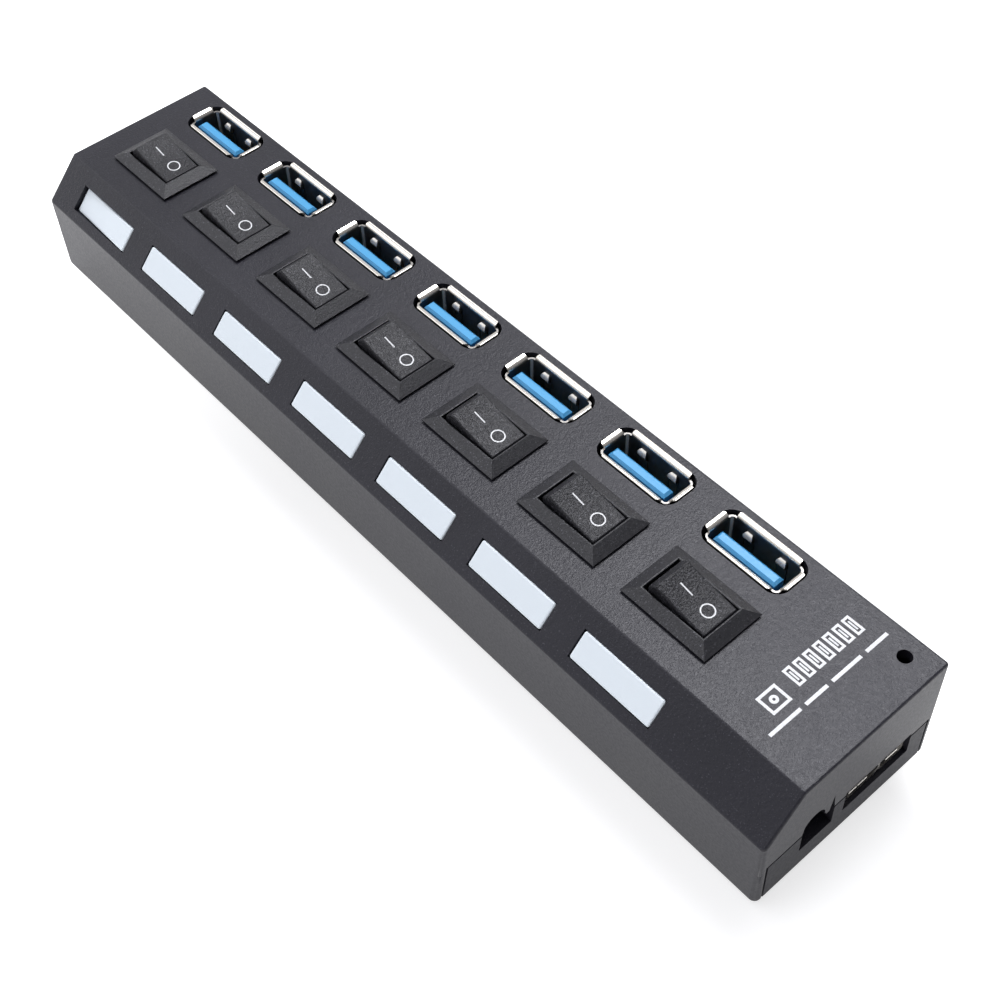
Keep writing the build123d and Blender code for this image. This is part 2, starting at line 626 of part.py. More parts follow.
def switch_plunger():
    """Spring and round-nosed plunger inside a rocker's guide tube, about the pivot."""
    slide_r = GUIDE_R - GUIDE_WALL - PLUNGER_CLEARANCE
    spring = post(0, 0, SPRING_BOTTOM, GUIDE_BORE_TOP - 0.02, slide_r)
    spring -= post(0, 0, SPRING_BOTTOM - 1, GUIDE_BORE_TOP + 1, slide_r - 0.25)
    nose_z = -(PLUNGER_REACH - PLUNGER_TIP_R)
    shank_z = -3.0
    plunger = post(0, 0, shank_z, SPRING_BOTTOM - 0.02, slide_r)
    plunger += post(0, 0, shank_z, SPRING_BOTTOM + 0.9, slide_r - 0.3)
    plunger += post(0, 0, nose_z, shank_z + 0.1, PLUNGER_TIP_R)
    plunger += Pos(0, 0, nose_z) * Sphere(PLUNGER_TIP_R)
    return Compound(children=[plunger, spring])


def switch_lever():
    """See-saw contact about its knife edge, level, with the moving contact at its +X end."""
    half_x = LEVER_LENGTH / 2
    half_y = LEVER_WIDTH / 2
    lever = block((-half_x, -half_y, 0), (half_x, half_y, LEVER_THICKNESS))
    for side in (-1, 1):
        inner_y = side * (half_y - 0.25)
        outer_y = side * half_y
        low = (-LEVER_CHEEK, min(inner_y, outer_y), -LEVER_CHEEK)
        lever += block(low, (LEVER_CHEEK, max(inner_y, outer_y), LEVER_THICKNESS))
    lever += post(half_x - 0.7, 0, -0.3, LEVER_THICKNESS, RIVET_R)
    return lever


def terminal_blades():
    """Two terminals of a switch, with z 0 at the top of the case."""
    edge_z = -LEVER_DEPTH - 0.1
    contact_z = -LEVER_DEPTH - FIXED_CONTACT_DROP
    foot_z = -BODY_DEPTH - 0.5
    end_z = LEAD_END_Z - TOP_Z
    half_x, half_y, pin_y = BLADE_HALF
    left = TERMINAL_X - half_x
    right = TERMINAL_X + half_x
    middle = block((-half_x, -half_y, foot_z), (half_x, half_y, edge_z))
    middle += block((-half_x, -pin_y, end_z), (half_x, pin_y, foot_z))
    side = block((left, -half_y, foot_z), (right, half_y, contact_z))
    side += block((left - 1.5, -half_y, contact_z - 0.5), (right, half_y, contact_z))
    side += block((left, -pin_y, end_z), (right, pin_y, foot_z))
    return [middle, side]


def switch_terminals():
    """Terminals of all seven switches."""
    places = [Pos(x, SWITCH_Y, TOP_Z) for x in SWITCH_XS]
    return Compound(children=[place * blade for place in places for blade in terminal_blades()])


def circuit_board():
    """Board that carries every connector, with holes for screws, terminals and leads."""
    half_x = BOARD_LENGTH / 2
    half_y = BOARD_WIDTH / 2
    board = block((-half_x, -half_y, BOARD_Z - BOARD_THICKNESS), (half_x, half_y, BOARD_Z))
    cuts = [post(x, y, 0, TOP_Z, SCREW_R + 0.3) for x in SCREW_XS for y in SCREW_YS]
    for x in PORT_XS:
        cuts += contact_strips(x)
        cuts += shell_legs(x)
    for x in SWITCH_XS:
        for lead_x in (x, x + TERMINAL_X):
            low = (lead_x - BLADE_HALF[0], SWITCH_Y - BLADE_HALF[2], 0)
            cuts.append(block(low, (lead_x + BLADE_HALF[0], SWITCH_Y + BLADE_HALF[2], TOP_Z)))
    for x, y in lamp_lead_places():
        cuts.append(post(x, y, 0, TOP_Z, LEAD_R))
    cuts.append(jack_pin_tail())
    cuts.append(jack_spring_tail())
    return board - cuts


def lamp_places():
    """Places of the seven port lamps and of the power lamp, with the height of each."""
    rows = [(x, LAMP_Y, LAMP_HEIGHT) for x in SWITCH_XS]
    return rows + [(INDICATOR_X, INDICATOR_Y, INDICATOR_HEIGHT)]


def lamp_lead_places():
    """Places of the two leads of each lamp."""
    return [(x + side * LEAD_X, y) for x, y, height in lamp_places() for side in (-1, 1)]


def status_leds():
    """Round lamps with two leads each: seven under the slope, one under the small hole."""
    lamps = []
    for x, y, height in lamp_places():
        radius = LAMP_R if y < 0 else INDICATOR_LAMP_R
        body_z = BOARD_Z + height - LAMP_LENGTH
        lamp = post(x, y, body_z, BOARD_Z + height - radius, radius)
        lamp += Pos(x, y, BOARD_Z + height - radius) * Sphere(radius)
        lamp += post(x, y, body_z, body_z + 0.8, radius + 0.3)
        for side in (-1, 1):
            lamp += post(x + side * LEAD_X, y, LEAD_END_Z, body_z + 0.2, LEAD_R)
        lamps.append(lamp)
    return Compound(children=lamps)


def dc_jack_body():
    """Housing of the round power socket, open towards the end wall."""
    low = (JACK_BACK_X, JACK_Y - JACK_HALF_WIDTH, BOARD_Z)
    body = block(low, (CAVITY_HALF_LENGTH - 0.1, JACK_Y + JACK_HALF_WIDTH, JACK_Z + JACK_TOP))
    body -= rod_x(JACK_Y, JACK_Z, JACK_BACK_X + 2, FAR, JACK_BORE_R)
    groove_low = (JACK_SPRING_X - 0.2, JACK_Y - 0.8, JACK_Z - 2.8)
    body -= block(groove_low, (JACK_PIN_TIP_X, JACK_Y + 0.8, JACK_Z))
    body -= jack_pin_tail()
    body -= rod_x(JACK_Y, JACK_Z, JACK_BACK_X - 1, JACK_BACK_X + 3, JACK_PIN_R)
    body -= jack_spring_tail()
    return body


def jack_pin_tail():
    """Solder tail behind the power socket's centre pin."""
    low = (JACK_BACK_X - 0.6, JACK_Y - JACK_TAIL_HALF, LEAD_END_Z)
    return block(low, (JACK_BACK_X, JACK_Y + JACK_TAIL_HALF, JACK_Z + 0.7))


def dc_jack_pin():
    """Centre pin of the power socket with its solder tail."""
    pin = rod_x(JACK_Y, JACK_Z, JACK_BACK_X - 0.1, JACK_PIN_TIP_X, JACK_PIN_R)
    pin += Pos(JACK_PIN_TIP_X, JACK_Y, JACK_Z) * Sphere(JACK_PIN_R)
    return pin + jack_pin_tail()


def jack_spring_tail():
    """Solder tail of the power socket's side spring."""
    low = (JACK_SPRING_X, JACK_Y - JACK_TAIL_HALF, LEAD_END_Z)
    return block(low, (JACK_SPRING_X + 0.3, JACK_Y + JACK_TAIL_HALF, JACK_Z - 2.2))


def dc_jack_spring():
    """Bent side spring that presses on the barrel of a power plug."""
    crest_x = JACK_SPRING_X + 4.4
    end_x = JACK_SPRING_X + 6.4
    outline = [
        (JACK_SPRING_X, JACK_Z - 2.5),
        (JACK_SPRING_X + 0.3, JACK_Z - 2.5),
        (crest_x, JACK_Z - 1.9),
        (end_x, JACK_Z - 2.4),
        (end_x, JACK_Z - 2.15),
        (crest_x, JACK_Z - 1.65),
        (JACK_SPRING_X, JACK_Z - 2.2),
    ]
    return prism_y(outline, JACK_Y - JACK_TAIL_HALF, JACK_Y + JACK_TAIL_HALF) + jack_spring_tail()


def lobe(low_y, high_y, low_z, high_z, cut):
    """Outline of one half of the upstream socket, with its two lower corners cut."""
    return [
        (low_y, high_z),
        (low_y, low_z + cut),
        (low_y + cut, low_z),
        (high_y - cut, low_z),
        (high_y, low_z + cut),
        (high_y, high_z),
    ]


def upstream_form(inset, low_x, high_x):
    """Two-part form of the upstream socket, moved in by inset."""
    low_y = UPSTREAM_LOW_Y + inset
    high_y = UPSTREAM_HIGH_Y - inset
    split_y = UPSTREAM_LOW_Y + UPSTREAM_SPLIT
    low_z = BOARD_Z + 0.05 + inset
    high_z = UPSTREAM_TOP_Z - inset
    wide = prism_x(lobe(low_y, split_y - inset + 0.1, low_z, high_z, 0.9), low_x, high_x)
    slim = prism_x(lobe(split_y + inset - 0.1, high_y, low_z, high_z, 0.6), low_x, high_x)
    link = block((low_x, split_y - 0.6, low_z + 2.0), (high_x, split_y + 0.6, high_z))
    return wide + slim + link


def upstream_shell():
    """Folded steel shell of the upstream socket, with three small flared lips at its mouth."""
    back = UPSTREAM_BACK_X
    mouth = UPSTREAM_MOUTH_X
    shell = upstream_form(0, back, mouth) - upstream_form(SHEET, back + SHEET, mouth + 1)
    outline = [
        (mouth - 0.5, UPSTREAM_TOP_Z - SHEET),
        (mouth + 0.05, UPSTREAM_TOP_Z - SHEET),
        (mouth + 0.68, UPSTREAM_TOP_Z + 0.1),
        (mouth + 0.68, UPSTREAM_TOP_Z + 0.36),
        (mouth + 0.45, UPSTREAM_TOP_Z + 0.36),
        (mouth - 0.1, UPSTREAM_TOP_Z),
        (mouth - 0.5, UPSTREAM_TOP_Z),
    ]
    for low_y, high_y in [(-0.5, 1.0), (1.2, 3.0), (6.6, 8.9)]:
        shell += prism_y(outline, low_y, high_y)
    return shell


def upstream_tongues():
    """Lowest and highest y of the wide and the slim tongue of the upstream socket."""
    wide = (UPSTREAM_LOW_Y + 1.8, UPSTREAM_LOW_Y + 5.6)
    slim = (UPSTREAM_LOW_Y + 8.7, UPSTREAM_LOW_Y + 11.1)
    return [wide, slim]


def upstream_tongue():
    """Moulding of the upstream socket: a back block with two thin tongues."""
    low_x = UPSTREAM_BACK_X + SHEET + 0.1
    low_z = UPSTREAM_TONGUE_Z - UPSTREAM_TONGUE_HALF
    high_z = UPSTREAM_TONGUE_Z + UPSTREAM_TONGUE_HALF
    moulding = upstream_form(SHEET + 0.1, low_x, low_x + 2.0)
    for low_y, high_y in upstream_tongues():
        moulding += block((low_x + 1.5, low_y, low_z), (UPSTREAM_MOUTH_X - 1.0, high_y, high_z))
    return moulding


def upstream_contacts():
    """Five flat contacts on the upper face of each upstream tongue."""
    low_x = UPSTREAM_BACK_X + SHEET + 2.12
    top_z = UPSTREAM_TONGUE_Z + UPSTREAM_TONGUE_HALF
    strips = []
    for low_y, high_y in upstream_tongues():
        step = (high_y - low_y) / 5
        for k in range(5):
            middle = low_y + step * (k + 0.5)
            low = (low_x, middle - step * 0.3, top_z)
            strips.append(block(low, (UPSTREAM_MOUTH_X - 1.4, middle + step * 0.3, top_z + 0.12)))
    return Compound(children=strips)


def hub_chips():
    """Two flat hub chips and a small regulator, on the upper face of the board."""
    chips = []
    for x in (SWITCH_XS[2] + BETWEEN_X, SWITCH_XS[4] + BETWEEN_X):
        chip = Box(*CHIP_SIZE)
        chip = chamfer(chip.faces().sort_by(Axis.Z)[-1].edges(), 0.15)
        chips.append(Pos(x, SWITCH_Y, BOARD_Z + CHIP_SIZE[2] / 2) * chip)
    regulator = Box(*REGULATOR_SIZE)
    chips.append(Pos(SWITCH_XS[5] + BETWEEN_X, SWITCH_Y, BOARD_Z + REGULATOR_SIZE[2] / 2) * regulator)
    return Compound(children=chips)


def crystal():
    """Flat oval can of the clock crystal."""
    can = extrude(SlotOverall(10.2, 3.7, rotation=90), amount=3.4)
    flange = extrude(SlotOverall(11.0, 4.6, rotation=90), amount=0.4)
    return Pos(SWITCH_XS[1] + BETWEEN_X, SWITCH_Y, BOARD_Z) * (can + flange)


def capacitors():
    """Round supply capacitors beside the end sockets."""
    cans = []
    for x, y, radius, height in CAPACITORS:
        can = post(x, y, BOARD_Z, BOARD_Z + height, radius)
        groove = post(x, y, BOARD_Z + 1.4, BOARD_Z + 2.0, radius + 1)
        groove -= post(x, y, BOARD_Z, BOARD_Z + 3, radius - 0.3)
        cans.append(fillet(can.edges().group_by(Axis.Z)[-1], 0.3) - groove)
    return Compound(children=cans)


def case_screws():
    """Four pan-head screws that go up through the floor into the cover's bosses."""
    screws = []
    for x in SCREW_XS:
        for y in SCREW_YS:
            screw = post(x, y, SCREW_HEAD_BOTTOM, SCREW_HEAD_TOP, SCREW_HEAD_R)
            screw += post(x, y, SCREW_HEAD_TOP - 0.1, BOARD_Z + SCREW_REACH, SCREW_R)
            for turn in (0, 90):
                cross = Pos(x, y, SCREW_HEAD_BOTTOM) * (Rot(0, 0, turn) * Box(*CROSS_CUT))
                screw -= cross
            screws.append(screw)
    return Compound(children=screws)


def rubber_feet():
    """Four round rubber feet, each set in a shallow recess of the floor."""
    feet = []
    for x in (-FOOT_X, FOOT_X):
        for y in (-FOOT_Y, FOOT_Y):
            foot = post(x, y, 0, BOTTOM_Z + FOOT_RECESS, FOOT_R)
            feet.append(fillet(foot.edges().group_by(Axis.Z)[0], 0.25))
    return Compound(children=feet)


def save(name, shape):
    """Write one sub-part to its own STEP file."""
    export_step(shape, f"parts/{name}.step")


def place_switch(k, x):
    """Write the pieces of one switch, at rest with the +X end of the rocker pressed."""
    top = Pos(x, SWITCH_Y, TOP_Z)
    pivot = top * Pos(0, 0, -PIVOT_DEPTH)
    pressed = pivot * Rot(0, ROCKER_TILT, 0)
    tipped = top * Pos(0, 0, -LEVER_DEPTH) * Rot(0, -LEVER_TILT, 0)
    save(f"switch_body_{k}", top * switch_body())
    save(f"switch_rocker_{k}", pressed * switch_rocker())
    save(f"switch_plunger_{k}", pressed * switch_plunger())
    save(f"switch_lever_{k}", tipped * switch_lever())


def main():
    """Build every sub-part and write it."""
    os.makedirs("parts", exist_ok=True)
    singles = [top_cover, base, light_strip, circuit_board, port_contacts, switch_terminals]
    singles += [status_leds, dc_jack_body, dc_jack_pin, dc_jack_spring]
    singles += [upstream_shell, upstream_tongue, upstream_contacts]
    singles += [hub_chips, crystal, capacitors, case_screws, rubber_feet]
    for make in singles:
        save(make.__name__, make())
    for k, x in enumerate(PORT_XS, start=1):
        save(f"port_shell_{k}", port_shell(x))
        save(f"port_tongue_{k}", port_tongue(x))
    for k, x in enumerate(SWITCH_XS, start=1):
        place_switch(k, x)


main()
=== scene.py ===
import json
import math

import bmesh
import bpy
from mathutils import Matrix, Quaternion, Vector


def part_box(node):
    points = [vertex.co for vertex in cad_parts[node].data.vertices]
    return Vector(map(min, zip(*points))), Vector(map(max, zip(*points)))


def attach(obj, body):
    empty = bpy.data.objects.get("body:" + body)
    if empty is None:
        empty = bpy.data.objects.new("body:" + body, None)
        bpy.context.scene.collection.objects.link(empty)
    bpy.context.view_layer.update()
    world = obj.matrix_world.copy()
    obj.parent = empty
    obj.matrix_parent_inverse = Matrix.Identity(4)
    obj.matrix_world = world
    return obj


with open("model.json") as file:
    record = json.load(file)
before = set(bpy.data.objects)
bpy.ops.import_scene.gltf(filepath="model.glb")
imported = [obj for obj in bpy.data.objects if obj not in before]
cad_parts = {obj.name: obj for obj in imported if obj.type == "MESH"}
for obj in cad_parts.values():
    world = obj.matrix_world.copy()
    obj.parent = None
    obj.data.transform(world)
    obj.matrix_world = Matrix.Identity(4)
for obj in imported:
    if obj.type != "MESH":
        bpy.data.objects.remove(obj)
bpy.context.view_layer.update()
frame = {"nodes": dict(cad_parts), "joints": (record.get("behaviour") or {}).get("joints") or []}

MM = 0.001
MM_PER_METRE = 1000.0
ROWS = range(1, 8)
RANGE_SOCKETS = ("From Min", "From Max", "To Min", "To Max")
scene = bpy.context.scene
nodes = frame["nodes"]
joints = {joint["name"]: joint for joint in frame["joints"]}


# ---------------------------------------------------------------- shader helpers

class Shader:
    """A node material with one Principled surface and texture coordinates in millimetres."""

    def __init__(self, name, **surface):
        self.material = bpy.data.materials.new(name)
        self.material.use_nodes = True
        self.tree = self.material.node_tree
        self.tree.nodes.clear()
        output = self.tree.nodes.new("ShaderNodeOutputMaterial")
        self.surface = self.tree.nodes.new("ShaderNodeBsdfPrincipled")
        self.join(self.surface.outputs["BSDF"], output.inputs["Surface"])
        for socket, value in surface.items():
            self.surface.inputs[socket.replace("_", " ")].default_value = value
        place = self.tree.nodes.new("ShaderNodeTexCoord")
        scale = self.node("ShaderNodeVectorMath", operation="SCALE")
        scale.inputs["Scale"].default_value = MM_PER_METRE
        self.join(place.outputs["Object"], scale.inputs[0])
        self.place = scale.outputs[0]

    def node(self, kind, **settings):
        made = self.tree.nodes.new(kind)
        for key, value in settings.items():
            setattr(made, key, value)
        return made

    def join(self, out, into):
        self.tree.links.new(out, into)

    def stretched(self, x, y, z):
        """Coordinates multiplied along each axis, for streaks and brushed marks."""
        made = self.node("ShaderNodeVectorMath", operation="MULTIPLY")
        made.inputs[1].default_value = (x, y, z)
        self.join(self.place, made.inputs[0])
        return made.outputs[0]

    def noise(self, scale, detail=2.0, roughness=0.5, place=None):
        made = self.node("ShaderNodeTexNoise")
        made.inputs["Scale"].default_value = scale
        made.inputs["Detail"].default_value = detail
        made.inputs["Roughness"].default_value = roughness
        self.join(place or self.place, made.inputs["Vector"])
        return made.outputs["Fac"]

    def ramp(self, value, low, high, to_low=0.0, to_high=1.0):
        made = self.node("ShaderNodeMapRange", interpolation_type="SMOOTHSTEP")
        for socket, number in zip(RANGE_SOCKETS, (low, high, to_low, to_high)):
            made.inputs[socket].default_value = number
        self.join(value, made.inputs["Value"])
        return made.outputs["Result"]

    def math(self, operation, a, b):
        made = self.node("ShaderNodeMath", operation=operation)
        for socket, value in zip(made.inputs, (a, b)):
            if isinstance(value, (int, float)):
                socket.default_value = value
            else:
                self.join(value, socket)
        return made.outputs[0]

    def mix(self, factor, low, high):
        made = self.node("ShaderNodeMix", data_type="RGBA")
        self.join(factor, made.inputs["Factor"])
        for socket, colour in ((made.inputs["A"], low), (made.inputs["B"], high)):
            if isinstance(colour, tuple):
                socket.default_value = (*colour, 1.0)
            else:
                self.join(colour, socket)
        return made.outputs["Result"]

    def facing(self, axis):
        """The part of the surface's own direction that points along X, Y or Z."""
        surface = self.node("ShaderNodeNewGeometry")
        parts = self.node("ShaderNodeSeparateXYZ")
        self.join(surface.outputs["Normal"], parts.inputs[0])
        return parts.outputs[axis]

    def along(self, axis):
        """Place along X, Y or Z in millimetres."""
        parts = self.node("ShaderNodeSeparateXYZ")
        self.join(self.place, parts.inputs[0])
        return parts.outputs[axis]

    def colour(self, value):
        self.join(value, self.surface.inputs["Base Color"])

    def rough(self, value):
        self.join(value, self.surface.inputs["Roughness"])

    def bump(self, height, depth_mm, strength=1.0):
        made = self.node("ShaderNodeBump")
        made.inputs["Strength"].default_value = strength
        made.inputs["Distance"].default_value = depth_mm * MM
        self.join(height, made.inputs["Height"])
        if hasattr(self, "last_bump"):
            self.join(self.last_bump, made.inputs["Normal"])
        self.last_bump = made.outputs["Normal"]
        self.join(self.last_bump, self.surface.inputs["Normal"])


def case_plastic(name, gloss, roughness):
    """Black moulding with a fine spark-eroded grain, coarser on the faces that look up.

    The faces towards +X and -Y are duller than the rest. Light specks in the colour are partly grain,
    partly painted glints, and show only on the faces that look up.
    """
    s = Shader(name, IOR=1.52)
    s.surface.inputs["Specular IOR Level"].default_value = gloss
    fine = s.noise(4.0, 3.0, 0.6)
    coarse = s.noise(1.7, 2.0, 0.55)
    broad = s.noise(0.06, 2.0, 0.5)
    up = s.ramp(s.facing("Z"), 0.2, 0.6, 0.25, 1.0)
    grain = s.math("MULTIPLY", s.math("ADD", fine, coarse), up)
    # Light specks: partly grain, partly painted glints, kept to the faces that look up
    grain_specks_and_glints = s.ramp(s.noise(4.6, 1.0, 0.5), 0.62, 0.76)
    base = s.mix(s.ramp(broad, 0.35, 0.65), (0.0145, 0.0142, 0.0205), (0.018, 0.0175, 0.025))
    s.colour(s.mix(s.math("MULTIPLY", grain_specks_and_glints, up), base, (0.048, 0.048, 0.06)))
    uneven = s.math("ADD", s.noise(2.4, 3.0, 0.6), s.math("MULTIPLY", broad, 0.4))
    patchy = s.ramp(uneven, 0.4, 1.0, roughness, roughness + 0.12)
    worn = s.math("ADD", patchy, s.math("MULTIPLY", up, 0.05))
    ends = s.ramp(s.facing("X"), 0.5, 0.9, 0.0, 0.2)
    sides = s.ramp(s.facing("Y"), -0.9, -0.75, 0.12, 0.0)
    s.rough(s.math("ADD", worn, s.math("ADD", ends, sides)))
    s.bump(grain, 0.048)
    return s.material


def satin_black(name, base, roughness, grain_mm, grain_scale, gloss=0.5, speck_and_glint_brightness=3.5):
    """Smoother black moulding, for the switches; the ends that face +X are the smoothest. Light
    specks in the colour are partly grain, partly painted glints, and fewer on the +X faces.
    """
    s = Shader(name, IOR=1.5)
    s.surface.inputs["Specular IOR Level"].default_value = gloss
    broad = s.noise(0.3, 2.0, 0.5)
    smooth = s.ramp(s.facing("X"), 0.3, 0.5, 1.0, 0.25)
    # Light specks: partly grain, partly painted glints, fewer on the faces that look towards +X
    grain_specks_and_glints = s.math("MULTIPLY", s.ramp(s.noise(grain_scale * 1.3, 1.0, 0.5), 0.6, 0.74), smooth)
    low = (base, base, base * 1.25)
    high = (base * 1.35, base * 1.35, base * 1.6)
    bright = base * speck_and_glint_brightness
    s.colour(s.mix(grain_specks_and_glints, s.mix(broad, low, high), (bright, bright, bright * 1.15)))
    s.rough(s.ramp(s.noise(1.8, 3.0, 0.6), 0.3, 0.7, roughness - 0.06, roughness + 0.08))
    s.bump(s.math("MULTIPLY", s.noise(grain_scale, 2.0, 0.6), smooth), grain_mm)
    return s.material


def window_plastic():
    """Milky light guide: slightly cloudy white, soft gloss."""
    s = Shader("window_plastic", IOR=1.49)
    cloud = s.noise(0.35, 3.0, 0.5)
    s.colour(s.mix(cloud, (0.81, 0.88, 0.93), (0.83, 0.90, 0.95)))
    s.rough(s.ramp(s.noise(1.5, 2.0, 0.5), 0.3, 0.7, 0.28, 0.4))
    s.bump(s.noise(2.5, 2.0, 0.5), 0.006)
    return s.material


def port_plastic():
    """Bright blue moulding with a faint flow pattern; its tops are painted lighter blue and its sides
    darker blue, as painted light and painted shade.
    """
    s = Shader("port_plastic", IOR=1.53)
    # Painted light and shade: faces that look up get the light blue, the rest the darker blue
    up = s.ramp(s.facing("Z"), 0.3, 0.9)
    side = s.mix(s.noise(0.5, 2.0, 0.5), (0.020, 0.165, 0.45), (0.028, 0.19, 0.50))
    s.colour(s.mix(up, side, (0.075, 0.42, 0.78)))
    s.rough(s.ramp(s.noise(2.0, 3.0, 0.6), 0.3, 0.7, 0.3, 0.42))
    s.bump(s.noise(3.5, 2.0, 0.5), 0.012)
    return s.material


def plated(name, low, high, roughness, streak=(1.0, 1.0, 1.0), depth=0.004):
    """Plated or polished sheet metal with rolling marks and a little tarnish."""
    s = Shader(name, Metallic=1.0)
    tarnish = s.noise(0.9, 4.0, 0.6)
    lines = s.noise(6.0, 2.0, 0.6, s.stretched(*streak))
    s.colour(s.mix(s.ramp(tarnish, 0.35, 0.7), high, low))
    s.rough(s.ramp(s.math("ADD", tarnish, lines), 0.7, 1.3, roughness - 0.05, roughness + 0.1))
    s.bump(lines, depth)
    return s.material


def shell_steel():
    """Nickel-plated sheet: lips and contact bulges in the plate's own colour, the bulges satin; lower
    down in the socket the colour is painted dark grey as painted shade.
    """
    s = Shader("shell_steel", Metallic=1.0)
    tarnish = s.noise(0.9, 4.0, 0.6)
    lines = s.noise(6.0, 2.0, 0.6, s.stretched(1.0, 1.0, 0.15))
    off_middle = s.math("ABSOLUTE", s.math("SUBTRACT", s.along("Y"), SOCKET_Y), 0.0)
    off_wall = s.ramp(off_middle, *BULGE_OFF_MIDDLE, 1.0, 0.0)
    sideways = s.ramp(s.math("ABSOLUTE", s.facing("Y"), 0.0), 0.2, 0.4)
    raised = s.math("MULTIPLY", off_wall, sideways)
    lips = s.math("MAXIMUM", s.ramp(s.along("Z"), *LIP_Z), s.ramp(s.along("X"), *LIP_X))
    bright = s.math("MAXIMUM", lips, raised)
    plate_colour = s.mix(s.ramp(tarnish, 0.35, 0.7), (0.90, 0.86, 0.78), (0.82, 0.78, 0.70))
    # Painted shade: everywhere except the lips and the bulges, the shell takes this dark grey in
    # place of its plate colour
    painted_shade_colour = s.mix(tarnish, (0.20, 0.19, 0.18), (0.34, 0.33, 0.31))
    s.colour(s.mix(bright, painted_shade_colour, plate_colour))
    wear = s.ramp(s.math("ADD", tarnish, lines), 0.7, 1.3, -0.04, 0.08)
    s.rough(s.math("ADD", s.ramp(bright, 0.0, 1.0, 0.36, 0.2), wear))
    s.join(s.ramp(raised, 0.0, 1.0, 1.0, 0.4), s.surface.inputs["Metallic"])
    s.bump(lines, 0.004)
    return s.material


def board_laminate():
    """Green solder mask over a woven glass board."""
    s = Shader("board_laminate", IOR=1.5)
    warp = s.node("ShaderNodeTexWave", wave_type="BANDS", bands_direction="X")
    weft = s.node("ShaderNodeTexWave", wave_type="BANDS", bands_direction="Y")
    for wave in (warp, weft):
        wave.inputs["Scale"].default_value = 0.6
        wave.inputs["Distortion"].default_value = 0.6
        s.join(s.place, wave.inputs["Vector"])
    weave = s.math("MULTIPLY", warp.outputs["Fac"], weft.outputs["Fac"])
    s.colour(s.mix(weave, (0.012, 0.085, 0.035), (0.02, 0.13, 0.055)))
    s.rough(s.ramp(s.noise(1.2, 2.0, 0.5), 0.3, 0.7, 0.25, 0.4))
    s.bump(weave, 0.01)
    return s.material


def rubber():
    """Dull black rubber with a dusty bloom."""
    s = Shader("foot_rubber", IOR=1.5)
    bloom = s.noise(0.8, 4.0, 0.6)
    s.colour(s.mix(s.ramp(bloom, 0.4, 0.75), (0.012, 0.012, 0.012), (0.05, 0.05, 0.048)))
    s.rough(s.ramp(bloom, 0.3, 0.7, 0.7, 0.9))
    s.bump(s.noise(3.0, 3.0, 0.6), 0.02)
    return s.material


def paint():
    """White pad-printed ink, slightly uneven."""
    s = Shader("white_print", IOR=1.5)
    s.colour(s.mix(s.ramp(s.noise(2.5, 3.0, 0.6), 0.3, 0.75), (0.93, 0.94, 0.95), (0.78, 0.79, 0.80)))
    s.rough(s.ramp(s.noise(3.0, 2.0, 0.5), 0.3, 0.7, 0.4, 0.55))
    s.bump(s.noise(4.0, 2.0, 0.5), 0.006)
    return s.material


CASE_GLOSS = 0.38
BASE_GLOSS = 0.26

# Where the socket shells keep their own plate colour, in millimetres; the rest of each shell is
# painted darker as painted shade
SOCKET_Y = 11.6
BULGE_OFF_MIDDLE = (2.5, 2.56)
LIP_Z = (20.8, 21.6)
LIP_X = (80.42, 80.6)

materials = {
    "case_plastic": case_plastic("case_plastic", CASE_GLOSS, 0.23),
    # The last number is the brightness of the light specks, partly grain and partly painted glints
    "switch_plastic": satin_black("switch_plastic", 0.0125, 0.33, 0.075, 3.4, 0.45, 7.5),
    "rocker_plastic": satin_black("rocker_plastic", 0.011, 0.33, 0.085, 3.2, 0.27, 8.0),
    "plunger_plastic": satin_black("plunger_plastic", 0.35, 0.45, 0.01, 3.0),
    "window_plastic": window_plastic(),
    "port_plastic": port_plastic(),
    "shell_steel": shell_steel(),
    "contact_metal": plated(
        "contact_metal", (0.75, 0.52, 0.22), (0.95, 0.72, 0.36), 0.22, (1.0, 1.0, 0.1)
    ),
    "terminal_metal": plated(
        "terminal_metal", (0.62, 0.60, 0.57), (0.85, 0.84, 0.82), 0.3, (1.0, 1.0, 0.1)
    ),
    "jack_plastic": satin_black("jack_plastic", 0.012, 0.42, 0.02, 3.0),
    "board_laminate": board_laminate(),
    "chip_resin": satin_black("chip_resin", 0.016, 0.6, 0.02, 3.5),
    "lamp_resin": satin_black("lamp_resin", 0.22, 0.2, 0.004, 1.5),
    "can_metal": plated(
        "can_metal", (0.60, 0.61, 0.63), (0.84, 0.85, 0.87), 0.25, (1.0, 1.0, 0.05)
    ),
    "screw_steel": plated(
        "screw_steel", (0.35, 0.35, 0.37), (0.62, 0.62, 0.64), 0.32, (0.3, 1.0, 1.0)
    ),
    "foot_rubber": rubber(),
}
white_print = paint()
base_plastic = case_plastic("floor_plastic", BASE_GLOSS, 0.34)

# ---------------------------------------------------------------- carried-over CAD nodes

for node in nodes.values():
    for place in node.material_slots:
        slot = place.material.name.split(".")[0]
        place.material = base_plastic if node.name == "base" else materials[slot]


# ---------------------------------------------------------------- printed marks

